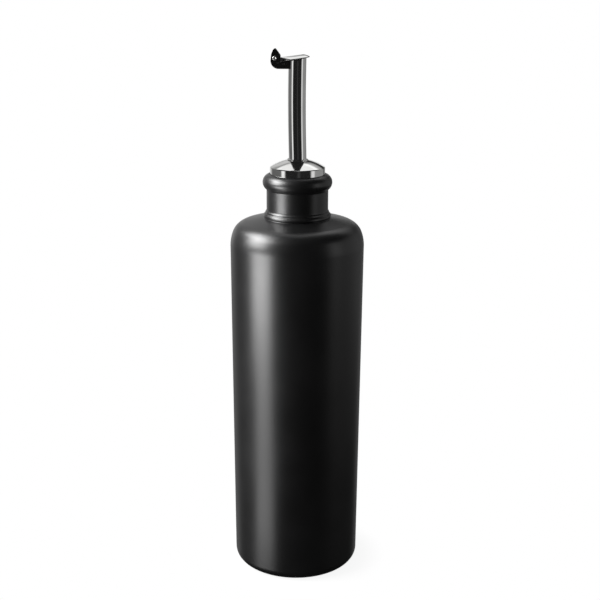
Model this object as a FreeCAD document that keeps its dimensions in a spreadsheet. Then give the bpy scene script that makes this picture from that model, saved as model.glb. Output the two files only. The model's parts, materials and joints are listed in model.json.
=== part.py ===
"""Ceramic oil bottle with a steel pourer whose hinged flap shuts the spout.

Frame: +Z up, origin at the centre of the base, the flap's hinge toward -X, its pin along Y.
Every size is millimetres in the sheet "dims"; each sub-part reads the sheet by expression.
"""
import math
import os
import sys

import FreeCAD
import Part
import Sketcher

doc = FreeCAD.newDocument("oil_bottle")
dims = doc.addObject("Spreadsheet::Sheet", "dims")
V = FreeCAD.Vector

# Driving sizes, each an independent number.
SIZES = {
    # bottle: a nearly straight wall, a rounded shoulder, a short neck and a rolled lip
    "body_radius": 35.0,
    "base_taper": 1.4,
    "base_round": 5.5,
    "shoulder_height": 182.3,
    "shoulder_round_low": 20.0,
    "shoulder_round_high": 9.0,
    "bevel_angle": 20.0,
    "shoulder_slope": 12.0,
    "neck_radius": 16.0,
    "lip_rise": 18.3,
    "lip_section": 4.35,
    "lip_bulge": 2.05,
    "bead_rise": 0.9,
    "bead_section": 1.5,
    "bead_bulge": 1.6,
    "collar_rise": 2.8,
    "collar_section": 0.8,
    "collar_bulge": 0.65,
    "seat_rise": 3.3,
    # steel cap that closes the neck and carries the spout
    "cap_radius": 14.2,
    "cap_seat_gap": 0.05,
    "cap_lift": 0.02,
    "cap_wall": 4.3,
    "cap_chamfer": 0.3,
    "cap_dome": 4.0,
    "weld_section": 0.45,
    # spout: a thin tube, almost upright, bowed slightly toward the hinge side
    "spout_height": 59.1,
    "spout_radius": 4.55,
    "spout_wall": 0.8,
    "spout_fit": 0.02,
    "spout_lift": 0.05,
    "spout_upright": 8.8,
    "spout_lean": 1.8,
    "spout_turn_radius": 100.0,
    "spout_mouth_run": 8.0,
    "spout_tip_lean": 0.9,
    "tip_slant": 7.5,
    # bracket at the spout's mouth
    "pin_reach": 6.75,
    "pin_rise": 0.5,
    "pin_to_back": 2.16,
    "pin_to_bottom": 5.3,
    "bracket_width": 6.4,
    "bracket_sheet": 0.8,
    "bracket_corner": 4.0,
    "heel_in": 0.36,
    "heel_rise": 7.4,
    "brow_in": 1.25,
    "brow_rise": 9.3,
    "peak_in": 2.4,
    "peak_rise": 10.0,
    "nose_in": 5.0,
    "nose_rise": 6.5,
    "peak_round": 0.7,
    "flap_gap": 0.3,
    "dimple_radius": 0.55,
    "dimple_depth": 0.25,
    # pin and flap
    "pin_radius": 0.6,
    "pin_fit": 0.02,
    "pin_running_fit": 0.05,
    "rivet_brim": 0.53,
    "rivet_height": 0.55,
    "rivet_round": 0.3,
    "flap_overhang": 1.6,
    "flap_side_overhang": 0.65,
    "flap_end_share": 0.77,
    "flap_start": 3.15,
    "flap_thick": 1.0,
    "flap_seat_gap": 0.1,
    "flap_edge": 0.3,
    "tongue_side_gap": 0.3,
    "knuckle_wall": 0.65,
}

# Sizes that follow from the ones above.
DERIVED = {
    "base_radius": "=body_radius - base_taper",
    "bevel_length": "=shoulder_round_low * tan(bevel_angle / 2 * 1deg)"
                    " + shoulder_round_high * tan((90 - shoulder_slope - bevel_angle) / 2 * 1deg)"
                    " + 0.1",
    "bevel_r": "=body_radius - bevel_length * sin(bevel_angle * 1deg)",
    "bevel_z": "=shoulder_height + bevel_length * cos(bevel_angle * 1deg)",
    "neck_foot_z": "=bevel_z + (bevel_r - neck_radius) * tan(shoulder_slope * 1deg)",
    "bead_height": "=neck_foot_z + bead_rise",
    "collar_height": "=neck_foot_z + collar_rise",
    "lip_centre_height": "=neck_foot_z + lip_rise",
    "seat_height": "=lip_centre_height + seat_rise",
    "lip_r": "=neck_radius + lip_bulge - lip_section",
    "bead_r": "=neck_radius + bead_bulge - bead_section",
    "collar_r": "=neck_radius + collar_bulge - collar_section",
    "seat_radius": "=cap_radius + cap_seat_gap",
    "lip_over": "=lip_centre_height + lip_section + 2",
    "cap_foot_z": "=seat_height + cap_lift",
    "cap_edge_z": "=cap_foot_z + cap_wall",
    "cap_rim_r": "=cap_radius - cap_chamfer",
    "cap_rim_z": "=cap_edge_z + cap_chamfer",
    "cap_hole": "=spout_radius + spout_fit",
    "dome_radius": "=(cap_rim_r ^ 2 + cap_dome ^ 2) / (2 * cap_dome)",
    "dome_hole_z": "=cap_rim_z + cap_dome - dome_radius + sqrt(dome_radius ^ 2 - cap_hole ^ 2)",
    "weld_r": "=cap_hole + weld_section",
    "spout_bore": "=spout_radius - spout_wall",
    "spout_foot_z": "=seat_height + spout_lift",
    "spout_tip_height": "=seat_height + spout_height",
    "turn_z": "=spout_foot_z + spout_upright",
    "lean_x": "=spout_turn_radius * (1 - cos(spout_lean * 1deg))",
    "lean_z": "=turn_z + spout_turn_radius * sin(spout_lean * 1deg)",
    "bow_length": "=spout_height - spout_upright - spout_mouth_run - 0.3",
    "bow_radius": "=bow_length / ((spout_lean + spout_tip_lean) * pi / 180)",
    "bow_x": "=lean_x + bow_radius * (cos(spout_tip_lean * 1deg) - cos(spout_lean * 1deg))",
    "bow_z": "=lean_z + bow_radius * (sin(spout_lean * 1deg) + sin(spout_tip_lean * 1deg))",
    "run_x": "=bow_x - spout_mouth_run * sin(spout_tip_lean * 1deg)",
    "run_z": "=bow_z + spout_mouth_run * cos(spout_tip_lean * 1deg)",
    "tip_x": "=bow_x - (spout_tip_height - bow_z) * tan(spout_tip_lean * 1deg)",
    "cut_left": "=tip_x + 12",
    "cut_right": "=12 - tip_x",
    "cut_low": "=spout_tip_height - 12 * tan(tip_slant * 1deg)",
    "cut_high": "=spout_tip_height + 12 * tan(tip_slant * 1deg)",
    "cut_top": "=spout_tip_height + 12",
    "pin_out": "=tip_x + spout_radius + pin_reach",
    "pin_height": "=spout_tip_height + pin_rise",
    "bracket_back": "=pin_out + pin_to_back",
    "bracket_bottom": "=pin_height - pin_to_bottom",
    "back_low_z": "=bracket_bottom + bracket_corner + 0.2",
    "heel_x": "=bracket_back - heel_in",
    "heel_z": "=bracket_bottom + heel_rise",
    "brow_x": "=bracket_back - brow_in",
    "brow_z": "=bracket_bottom + brow_rise",
    "peak_x": "=bracket_back - peak_in",
    "peak_z": "=bracket_bottom + peak_rise",
    "nose_x": "=bracket_back - nose_in",
    "nose_z": "=bracket_bottom + nose_rise",
    "flap_drop": "=(pin_out - tip_x) * sin(tip_slant * 1deg)"
                 " + (pin_height - spout_tip_height) * cos(tip_slant * 1deg)",
    "plate_low": "=flap_drop - flap_seat_gap",
    "plate_top": "=plate_low - flap_thick",
    "notch_z": "=pin_height - (plate_low + flap_gap) / cos(tip_slant * 1deg)"
               " + (pin_out - nose_x) * tan(tip_slant * 1deg)",
    "ledge_x": "=tip_x + 1",
    "ledge_z": "=pin_height - (plate_low + flap_gap) / cos(tip_slant * 1deg)"
               " + (pin_out - ledge_x) * tan(tip_slant * 1deg)",
    "knuckle_radius": "=pin_radius + knuckle_wall",
    "channel_width": "=bracket_width - 2 * bracket_sheet",
    "web_z": "=bracket_bottom + bracket_sheet",
    "web_top_z": "=pin_height - knuckle_radius - 2 * flap_gap",
    "web_back_x": "=bracket_back - 1.6 * bracket_sheet",
    "web_turn_z": "=web_z + 0.5 * bracket_corner",
    "web_turn_x": "=web_back_x - 0.55 * bracket_corner",
    "foot_x": "=spout_radius + tip_x + 1.4 * bracket_sheet",
    "open_x": "=bracket_back + 2",
    "open_z": "=peak_z + 2",
    "groove_r": "=spout_radius + spout_fit",
    "pin_hole": "=pin_radius + pin_fit",
    "knuckle_bore": "=pin_radius + pin_running_fit",
    "rivet_radius": "=pin_radius + rivet_brim",
    "pin_half": "=bracket_width / 2 + 0.02",
    "pin_end": "=pin_half + rivet_height",
    "tongue_width": "=channel_width - 2 * tongue_side_gap",
    "flap_length": "=pin_out - tip_x + spout_radius + flap_overhang - flap_start",
    "flap_width": "=2 * (spout_radius + flap_side_overhang)",
    "flap_end_radius": "=flap_end_share * flap_width / 2",
    "flap_centre": "=flap_start + flap_length / 2",
    "oval_reach": "=flap_length / 2 - flap_end_radius",
    "oval_spare": "=flap_width / 2 - flap_end_radius",
    "oval_drop": "=(oval_reach ^ 2 - oval_spare ^ 2) / (2 * oval_spare)",
    "oval_side_radius": "=flap_width / 2 + oval_drop",
    "oval_far_centre": "=flap_centre + oval_reach",
    "oval_near_centre": "=flap_centre - oval_reach",
    "oval_far": "=flap_centre + oval_side_radius * oval_reach"
                " / sqrt(oval_reach ^ 2 + oval_drop ^ 2)",
    "oval_near": "=flap_centre - oval_side_radius * oval_reach"
                 " / sqrt(oval_reach ^ 2 + oval_drop ^ 2)",
    "oval_half": "=oval_side_radius * oval_drop / sqrt(oval_reach ^ 2 + oval_drop ^ 2)"
                 " - oval_drop",
    "tongue_end": "=flap_start + 1.5",
    "dimple_one_x": "=bracket_back - 3.7",
    "dimple_one_z": "=bracket_bottom + 3.0",
    "dimple_two_x": "=bracket_back - 6.4",
    "dimple_two_z": "=bracket_bottom + 2.5",
}

for row, (name, value) in enumerate(list(SIZES.items()) + list(DERIVED.items()), start=1):
    cell = "B%d" % row
    dims.set("A%d" % row, name)
    dims.set(cell, str(value))
    dims.setAlias(cell, name)
doc.recompute()


def size(name):
    """Return a sheet value; a leading minus turns its sign."""
    if name == "zero":
        return 0.0
    sign = -1.0 if name.startswith("-") else 1.0
    got = dims.get(name.lstrip("-"))
    return sign * float(got)


def bind(owner, prop, name):
    """Drive one property from the sheet."""
    minus = "-" if name.startswith("-") else ""
    owner.setExpression(prop, minus + "dims." + name.lstrip("-"))


def body_named(label):
    """Add one sub-part body."""
    body = doc.addObject("PartDesign::Body", label)
    body.Label = label
    return body


def sketch_on(body, name, role="XZ_Plane"):
    """Add a sketch on one of the body's own origin planes."""
    sketch = body.newObject("Sketcher::SketchObject", name)
    plane = [item for item in body.Origin.OriginFeatures if item.Role == role][0]
    sketch.AttachmentSupport = [(plane, "")]
    sketch.MapMode = "FlatFace"
    return sketch


def pin_point(sketch, geo, pos, across, up):
    """Fix one point of a sketch at two sheet sizes."""
    for kind, name in (("DistanceX", across), ("DistanceY", up)):
        if name == "zero":
            axis = -2 if kind == "DistanceX" else -1
            sketch.addConstraint(Sketcher.Constraint("PointOnObject", geo, pos, axis))
            continue
        index = sketch.addConstraint(Sketcher.Constraint(kind, -1, 1, geo, pos, size(name)))
        bind(sketch, "Constraints[%d]" % index, name)


def polygon(sketch, points):
    """Draw a closed outline through points named by their sheet sizes."""
    spots = [V(size(a), size(b), 0) for a, b in points]
    first = None
    for index, spot in enumerate(spots):
        geo = sketch.addGeometry(Part.LineSegment(spot, spots[(index + 1) % len(spots)]), False)
        first = geo if first is None else first
    for index in range(len(spots)):
        follow = first + (index + 1) % len(spots)
        sketch.addConstraint(Sketcher.Constraint("Coincident", first + index, 2, follow, 1))
    for index, (across, up) in enumerate(points):
        pin_point(sketch, first + index, 1, across, up)
    return first


def circle(sketch, across, up, radius):
    """Draw a circle whose centre and radius come from the sheet."""
    round_shape = Part.Circle(V(size(across), size(up), 0), V(0, 0, 1), size(radius))
    geo = sketch.addGeometry(round_shape, False)
    pin_point(sketch, geo, 3, across, up)
    index = sketch.addConstraint(Sketcher.Constraint("Radius", geo, size(radius)))
    bind(sketch, "Constraints[%d]" % index, radius)
    return geo


def turned(body, name, sketch, kind="PartDesign::Revolution"):
    """Revolve a sketch about its own vertical axis."""
    feature = body.newObject(kind, name)
    feature.Profile = sketch
    feature.ReferenceAxis = (sketch, ["V_Axis"])
    feature.Angle = 360.0
    sketch.Visibility = False
    doc.recompute()
    return feature


def pulled(body, name, sketch, width, kind="PartDesign::Pad"):
    """Pad or pocket a sketch equally to both sides by a width from the sheet."""
    feature = body.newObject(kind, name)
    feature.Profile = sketch
    feature.Midplane = True
    feature.Length = size(width)
    bind(feature, "Length", width)
    sketch.Visibility = False
    doc.recompute()
    return feature


def rounded(body, name, base, picks, radius):
    """Round the picked edges by a radius from the sheet."""
    feature = body.newObject("PartDesign::Fillet", name)
    feature.Base = (base, picks)
    feature.Radius = size(radius)
    bind(feature, "Radius", radius)
    doc.recompute()
    return feature


def ring_edges(shape, radius, height):
    """Name the round edges about Z at one radius and height."""
    found = []
    for index, edge in enumerate(shape.Edges, start=1):
        curve = edge.Curve
        if curve.TypeId != "Part::GeomCircle":
            continue
        if abs(curve.Radius - radius) < 0.01 and abs(curve.Center.z - height) < 0.01:
            found.append("Edge%d" % index)
    return found


def edges_near(shape, spot, reach=0.05):
    """Name the edges whose middle lies near a place in the X-Z plane."""
    found = []
    for index, edge in enumerate(shape.Edges, start=1):
        box = edge.BoundBox
        if box.XLength < reach and box.ZLength < reach and box.YLength > 0.5:
            if abs(box.Center.x - spot[0]) < reach and abs(box.Center.z - spot[1]) < reach:
                found.append("Edge%d" % index)
    return found


# Bottle: body, shoulder, neck, foot bead and rolled lip in one turned piece.
bottle = body_named("bottle")
profile = sketch_on(bottle, "bottle_profile")
polygon(profile, [("zero", "zero"), ("base_radius", "zero"), ("body_radius", "shoulder_height"),
                  ("bevel_r", "bevel_z"), ("neck_radius", "neck_foot_z"),
                  ("neck_radius", "seat_height"), ("zero", "seat_height")])
wall = turned(bottle, "bottle_wall", profile)
bead = sketch_on(bottle, "bead_profile")
circle(bead, "bead_r", "bead_height", "bead_section")
bead_ring = turned(bottle, "bead_ring", bead)
collar = sketch_on(bottle, "collar_profile")
circle(collar, "collar_r", "collar_height", "collar_section")
collar_ring = turned(bottle, "collar_ring", collar)
lip = sketch_on(bottle, "lip_profile")
circle(lip, "lip_r", "lip_centre_height", "lip_section")
lip_ring = turned(bottle, "lip_ring", lip)
seat = sketch_on(bottle, "seat_profile")
polygon(seat, [("zero", "seat_height"), ("seat_radius", "seat_height"), ("seat_radius", "lip_over"),
               ("zero", "lip_over")])
seat_cut = turned(bottle, "seat_cut", seat, "PartDesign::Groove")
shape = seat_cut.Shape
low = rounded(bottle, "shoulder_low", seat_cut,
              ring_edges(shape, size("body_radius"), size("shoulder_height")),
              "shoulder_round_low")
high = rounded(bottle, "shoulder_high", low,
               ring_edges(low.Shape, size("bevel_r"), size("bevel_z")), "shoulder_round_high")
foot = rounded(bottle, "base_edge", high,
               ring_edges(high.Shape, size("base_radius"), 0.0), "base_round")
bottle.Tip = foot

# Cap: a low steel drum with a bevelled rim, a domed top and a ring where the spout enters.
cap = body_named("pourer_cap")
drum = sketch_on(cap, "cap_profile")
corners = [("cap_hole", "cap_foot_z"), ("cap_radius", "cap_foot_z"), ("cap_radius", "cap_edge_z"),
           ("cap_rim_r", "cap_rim_z"), ("cap_hole", "dome_hole_z")]
spots = [V(size(a), size(b), 0) for a, b in corners]
for start, end in ((0, 1), (1, 2), (2, 3)):
    drum.addGeometry(Part.LineSegment(spots[start], spots[end]), False)
centre = V(0, size("cap_rim_z") + size("cap_dome") - size("dome_radius"), 0)
dome = Part.Circle(centre, V(0, 0, 1), size("dome_radius"))
begin = math.atan2(spots[3].y - centre.y, spots[3].x)
finish = math.atan2(spots[4].y - centre.y, spots[4].x)
drum.addGeometry(Part.ArcOfCircle(dome, begin, finish), False)
drum.addGeometry(Part.LineSegment(spots[4], spots[0]), False)
for one, pos_one, two, pos_two in ((0, 2, 1, 1), (1, 2, 2, 1), (2, 2, 3, 1), (3, 2, 4, 1),
                                   (4, 2, 0, 1)):
    drum.addConstraint(Sketcher.Constraint("Coincident", one, pos_one, two, pos_two))
for geo, (across, up) in ((0, corners[0]), (1, corners[1]), (2, corners[2]), (3, corners[3]),
                          (4, corners[4])):
    pin_point(drum, geo, 1, across, up)
drum.addConstraint(Sketcher.Constraint("PointOnObject", 3, 3, -2))
cap_turned = turned(cap, "cap_drum", drum)
weld = sketch_on(cap, "weld_profile")
circle(weld, "weld_r", "dome_hole_z", "weld_section")
weld_ring = turned(cap, "weld_ring", weld)
cap.Tip = weld_ring

# Spout: a tube swept along a line, a short turn, a long bow and a line, then cut on a slant.
spout = body_named("spout_tube")
path = sketch_on(spout, "spout_path")
p_foot = V(0, size("spout_foot_z"), 0)
p_turn = V(0, size("turn_z"), 0)
p_lean = V(-size("lean_x"), size("lean_z"), 0)
p_bow = V(-size("bow_x"), size("bow_z"), 0)
p_run = V(-size("run_x"), size("run_z"), 0)
lean = math.radians(size("spout_lean"))
tip = math.radians(size("spout_tip_lean"))
turn_centre = V(-size("spout_turn_radius"), size("turn_z"), 0)
bow_r = size("bow_radius")
bow_centre = V(p_lean.x + bow_r * math.cos(lean), p_lean.y + bow_r * math.sin(lean), 0)
path.addGeometry(Part.LineSegment(p_foot, p_turn), False)
turn_arc = Part.Circle(turn_centre, V(0, 0, 1), size("spout_turn_radius"))
path.addGeometry(Part.ArcOfCircle(turn_arc, 0.0, lean), False)
bow_arc = Part.Circle(bow_centre, V(0, 0, 1), bow_r)
path.addGeometry(Part.ArcOfCircle(bow_arc, math.pi - tip, math.pi + lean), False)
path.addGeometry(Part.LineSegment(p_bow, p_run), False)
path.addConstraint(Sketcher.Constraint("Coincident", 0, 2, 1, 1))
path.addConstraint(Sketcher.Constraint("Coincident", 1, 2, 2, 2))
path.addConstraint(Sketcher.Constraint("Coincident", 2, 1, 3, 1))
pin_point(path, 0, 1, "zero", "spout_foot_z")
pin_point(path, 0, 2, "zero", "turn_z")
pin_point(path, 1, 2, "-lean_x", "lean_z")
pin_point(path, 3, 1, "-bow_x", "bow_z")
pin_point(path, 3, 2, "-run_x", "run_z")
turn_index = path.addConstraint(Sketcher.Constraint("Radius", 1, size("spout_turn_radius")))
bind(path, "Constraints[%d]" % turn_index, "spout_turn_radius")
bow_index = path.addConstraint(Sketcher.Constraint("Radius", 2, bow_r))
bind(path, "Constraints[%d]" % bow_index, "bow_radius")
ring = sketch_on(spout, "spout_section", "XY_Plane")
bind(ring, "AttachmentOffset.Base.z", "spout_foot_z")
circle(ring, "zero", "zero", "spout_radius")
circle(ring, "zero", "zero", "spout_bore")
doc.recompute()
tube = spout.newObject("PartDesign::AdditivePipe", "tube_sweep")
tube.Profile = ring
tube.Spine = (path, [])
doc.recompute()
slant = sketch_on(spout, "tip_cut_outline")
polygon(slant, [("-cut_left", "cut_low"), ("cut_right", "cut_high"), ("cut_right", "cut_top"),
                ("-cut_left", "cut_top")])
slant_cut = pulled(spout, "tip_cut", slant, "cut_top", "PartDesign::Pocket")
spout.Tip = slant_cut

# Bracket: two cheeks folded from one sheet, joined below and at the tube.
bracket = body_named("flap_bracket")
cheek = sketch_on(bracket, "cheek_outline")
polygon(cheek, [("-ledge_x", "bracket_bottom"), ("-bracket_back", "bracket_bottom"),
                ("-bracket_back", "back_low_z"), ("-heel_x", "heel_z"), ("-brow_x", "brow_z"),
                ("-peak_x", "peak_z"), ("-nose_x", "nose_z"), ("-nose_x", "notch_z"),
                ("-ledge_x", "ledge_z")])
block = pulled(bracket, "cheek_block", cheek, "bracket_width")
corner = rounded(bracket, "heel_round", block,
                 edges_near(block.Shape, (-size("bracket_back"), size("bracket_bottom"))),
                 "bracket_corner")
peak = rounded(bracket, "peak_rounding", corner,
               edges_near(corner.Shape, (-size("peak_x"), size("peak_z"))), "peak_round")
channel = sketch_on(bracket, "channel_outline")
polygon(channel, [("-foot_x", "web_z"), ("-foot_x", "web_top_z"), ("zero", "web_top_z"),
                  ("zero", "open_z"), ("-open_x", "open_z"), ("-open_x", "web_top_z"),
                  ("-web_back_x", "web_top_z"), ("-web_back_x", "web_turn_z"),
                  ("-web_turn_x", "web_z")])
channel_cut = pulled(bracket, "channel_cut", channel, "channel_width", "PartDesign::Pocket")
axle = sketch_on(bracket, "axle_hole")
circle(axle, "-pin_out", "pin_height", "pin_hole")
axle_cut = pulled(bracket, "axle_cut", axle, "cut_top", "PartDesign::Pocket")
for side, far in (("near", False), ("far", True)):
    dimples = sketch_on(bracket, "dimple_outline_" + side)
    dimples.setExpression("AttachmentOffset.Base.z",
                          "dims.bracket_width / %d" % (-2 if far else 2))
    circle(dimples, "-dimple_one_x", "dimple_one_z", "dimple_radius")
    circle(dimples, "-dimple_two_x", "dimple_two_z", "dimple_radius")
    dimple_cut = bracket.newObject("PartDesign::Pocket", "dimple_cut_" + side)
    dimple_cut.Profile = dimples
    dimple_cut.Reversed = far
    bind(dimple_cut, "Length", "dimple_depth")
    dimples.Visibility = False
    doc.recompute()
clasp = sketch_on(bracket, "clasp_profile")
bind(clasp, "AttachmentOffset.Base.x", "-tip_x")
bind(clasp, "AttachmentOffset.Base.y", "spout_tip_height")
clasp.setExpression("AttachmentOffset.Rotation.Angle", "dims.spout_tip_lean * -1deg")
polygon(clasp, [("zero", "-cap_radius"), ("groove_r", "-cap_radius"), ("groove_r", "cap_radius"),
                ("zero", "cap_radius")])
clasp_cut = turned(bracket, "clasp_cut", clasp, "PartDesign::Groove")
bracket.Tip = clasp_cut
print("pin at", round(-size("pin_out"), 4), round(size("pin_height"), 4))
print("bottle seat", round(size("seat_height"), 3), "tip", round(-size("tip_x"), 3))

# Pin: a rivet through both cheeks with a rounded head on each side.
rivet = body_named("hinge_pin")
for key, name in (("x", "-pin_out"), ("z", "pin_height")):
    bind(rivet, "Placement.Base." + key, name)
rivet_profile = sketch_on(rivet, "rivet_profile", "XY_Plane")
polygon(rivet_profile, [("zero", "-pin_end"), ("rivet_radius", "-pin_end"),
                        ("rivet_radius", "-pin_half"), ("pin_radius", "-pin_half"),
                        ("pin_radius", "pin_half"), ("rivet_radius", "pin_half"),
                        ("rivet_radius", "pin_end"), ("zero", "pin_end")])
rivet_turned = turned(rivet, "rivet_turned", rivet_profile)
heads = []
for index, edge in enumerate(rivet_turned.Shape.Edges, start=1):
    if edge.Curve.TypeId != "Part::GeomCircle":
        continue
    centre_y = edge.Curve.Center.y
    outer = abs(abs(centre_y) - size("pin_end")) < 0.01
    if outer and abs(edge.Curve.Radius - size("rivet_radius")) < 0.01:
        heads.append("Edge%d" % index)
rivet_round = rounded(rivet, "rivet_heads", rivet_turned, heads, "rivet_round")
rivet.Tip = rivet_round

# Flap: an oval plate on a tongue, with a knuckle round the pin. Its own X runs along the plate.
flap = body_named("flap")
for key, name in (("x", "-pin_out"), ("z", "pin_height")):
    bind(flap, "Placement.Base." + key, name)
flap.Placement = FreeCAD.Placement(V(-size("pin_out"), 0, size("pin_height")),
                                   FreeCAD.Rotation(V(0, 1, 0), -size("tip_slant")))
flap.setExpression("Placement.Rotation.Angle", "dims.tip_slant * 1deg")
flap.setExpression("Placement.Rotation.Axis.y", "-1")
oval = sketch_on(flap, "oval_outline", "XY_Plane")
oval.setExpression("AttachmentOffset.Base.z", "-dims.plate_low")
for centre_x, centre_y, radius, start, end in (
        ("oval_far_centre", "zero", "flap_end_radius", ("oval_far", "-oval_half"),
         ("oval_far", "oval_half")),
        ("flap_centre", "-oval_drop", "oval_side_radius", ("oval_far", "oval_half"),
         ("oval_near", "oval_half")),
        ("oval_near_centre", "zero", "flap_end_radius", ("oval_near", "oval_half"),
         ("oval_near", "-oval_half")),
        ("flap_centre", "oval_drop", "oval_side_radius", ("oval_near", "-oval_half"),
         ("oval_far", "-oval_half"))):
    middle = V(size(centre_x), size(centre_y), 0)
    ends = [math.atan2(size(up) - middle.y, size(across) - middle.x)
            for across, up in (start, end)]
    if ends[1] < ends[0]:
        ends[1] += 2 * math.pi
    sweep = Part.Circle(middle, V(0, 0, 1), size(radius))
    arc = oval.addGeometry(Part.ArcOfCircle(sweep, ends[0], ends[1]), False)
    pin_point(oval, arc, 1, start[0], start[1])
    index = oval.addConstraint(Sketcher.Constraint("Radius", arc, size(radius)))
    bind(oval, "Constraints[%d]" % index, radius)
for arc in range(4):
    oval.addConstraint(Sketcher.Constraint("Coincident", arc, 2, (arc + 1) % 4, 1))
plate = flap.newObject("PartDesign::Pad", "plate")
plate.Profile = oval
bind(plate, "Length", "flap_thick")
doc.recompute()
plate_edges = ["Edge%d" % index for index, edge in enumerate(plate.Shape.Edges, start=1)
               if edge.BoundBox.ZLength < 0.01]
plate_round = rounded(flap, "plate_round", plate, plate_edges, "flap_edge")
tongue = sketch_on(flap, "tongue_side")
polygon(tongue, [("zero", "-plate_low"), ("tongue_end", "-plate_low"), ("tongue_end", "-plate_top"),
                 ("zero", "-plate_top")])
tongue_pad = pulled(flap, "tongue_pad", tongue, "tongue_width")
knuckle = sketch_on(flap, "knuckle_side")
circle(knuckle, "zero", "zero", "knuckle_radius")
knuckle_pad = pulled(flap, "knuckle_pad", knuckle, "tongue_width")
bore = sketch_on(flap, "bore_side")
circle(bore, "zero", "zero", "knuckle_bore")
bore_cut = pulled(flap, "bore_cut", bore, "flap_width", "PartDesign::Pocket")
flap.Tip = bore_cut

doc.recompute()
bad = []
for item in doc.Objects:
    if "Invalid" in item.State or "Error" in item.State:
        bad.append(item.Name + " " + " ".join(item.State))
bodies = [bottle, cap, spout, bracket, rivet, flap]
for body in bodies:
    if body.Shape.isNull() or not body.Shape.isValid() or not body.Shape.Solids:
        bad.append(body.Label + " has no valid solid")
if bad:
    print("FAILED: " + "; ".join(bad))
    sys.exit(1)
os.makedirs("parts", exist_ok=True)
for body in bodies:
    body.Shape.exportStep("parts/" + body.Label + ".step")
    box = body.Shape.BoundBox
    print(body.Label, len(body.Shape.Solids), round(body.Shape.Volume, 2),
          [round(v, 2) for v in (box.XMin, box.XMax, box.YMin, box.YMax, box.ZMin, box.ZMax)])
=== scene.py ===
"""Ceramic oil bottle with a steel pourer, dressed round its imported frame.

Each sub-assembly is a class that holds its sizes, builds its meshes and dresses them, and each finish is a
small class of its own. The sizes of the pieces are in millimetres and become metres where a mesh is made;
those of the finishes and the studio are in metres, and angles are in degrees. The frame is that of the
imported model: +Z up, the flap's hinge toward -X, its pin along Y.
"""

import json
import logging
import math
from collections.abc import Sequence
from dataclasses import dataclass, field
from enum import Enum

import bmesh
import bpy
from mathutils import Matrix, Vector

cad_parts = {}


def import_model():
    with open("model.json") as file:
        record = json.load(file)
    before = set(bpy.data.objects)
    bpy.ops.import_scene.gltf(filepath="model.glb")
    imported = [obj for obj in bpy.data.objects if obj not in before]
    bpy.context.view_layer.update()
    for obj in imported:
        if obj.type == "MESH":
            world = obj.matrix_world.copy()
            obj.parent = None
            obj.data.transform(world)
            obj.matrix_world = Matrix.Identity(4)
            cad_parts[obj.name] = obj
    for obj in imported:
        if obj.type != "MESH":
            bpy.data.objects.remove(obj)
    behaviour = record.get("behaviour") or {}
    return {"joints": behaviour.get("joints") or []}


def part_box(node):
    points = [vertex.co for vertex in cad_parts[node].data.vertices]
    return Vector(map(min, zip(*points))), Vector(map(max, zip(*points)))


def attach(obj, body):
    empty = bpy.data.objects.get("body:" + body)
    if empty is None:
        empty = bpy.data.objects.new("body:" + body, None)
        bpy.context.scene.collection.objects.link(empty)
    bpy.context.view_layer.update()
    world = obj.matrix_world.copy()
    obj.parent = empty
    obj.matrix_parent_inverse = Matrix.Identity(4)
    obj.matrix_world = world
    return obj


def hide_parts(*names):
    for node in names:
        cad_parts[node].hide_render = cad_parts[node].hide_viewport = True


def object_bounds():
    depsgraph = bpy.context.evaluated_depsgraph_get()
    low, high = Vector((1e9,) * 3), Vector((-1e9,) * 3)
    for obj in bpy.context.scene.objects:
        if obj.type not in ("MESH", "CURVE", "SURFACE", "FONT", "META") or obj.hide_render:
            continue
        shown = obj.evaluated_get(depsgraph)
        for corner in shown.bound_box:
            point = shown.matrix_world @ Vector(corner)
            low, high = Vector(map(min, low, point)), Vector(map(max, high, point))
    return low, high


frame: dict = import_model()
CAD_BOX: tuple[Vector, Vector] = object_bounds()

LOG = logging.getLogger("oil_bottle")
MM = 0.001  # metres in a millimetre
TINY = 1e-9  # shorter than any real length
SAME_SPOT = 1e-4  # vertices nearer than this, in millimetres, are one
Flat = tuple[float, float]
Colour = tuple[float, float, float, float]
Row = list[bmesh.types.BMVert]
WHITE: Colour = (1.0, 1.0, 1.0, 1.0)


# ---------------------------------------------------------------------------------------------------------
# Shader workshop
# ---------------------------------------------------------------------------------------------------------


@dataclass(frozen=True)
class Value:
    """One output socket of a node tree, with the arithmetic that adds Math nodes to the tree."""

    recipe: "Recipe"
    socket: bpy.types.NodeSocket | None

    def _math(self, operation: str, first: "Value | float", second: "Value | float") -> "Value":
        """Add one Math node on two values."""
        return self.recipe.add("ShaderNodeMath", {"operation": operation}, {0: first, 1: second})

    def __add__(self, other: "Value | float") -> "Value":
        """Sum."""
        return self._math("ADD", self, other)

    def __radd__(self, other: "Value | float") -> "Value":
        """Sum, reflected."""
        return self._math("ADD", other, self)

    def __sub__(self, other: "Value | float") -> "Value":
        """Difference."""
        return self._math("SUBTRACT", self, other)

    def __rsub__(self, other: "Value | float") -> "Value":
        """Difference, reflected."""
        return self._math("SUBTRACT", other, self)

    def __mul__(self, other: "Value | float") -> "Value":
        """Product."""
        return self._math("MULTIPLY", self, other)

    def __rmul__(self, other: "Value | float") -> "Value":
        """Product, reflected."""
        return self._math("MULTIPLY", other, self)

    def __abs__(self) -> "Value":
        """Size without its sign."""
        return self.recipe.add("ShaderNodeMath", {"operation": "ABSOLUTE"}, {0: self})


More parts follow.
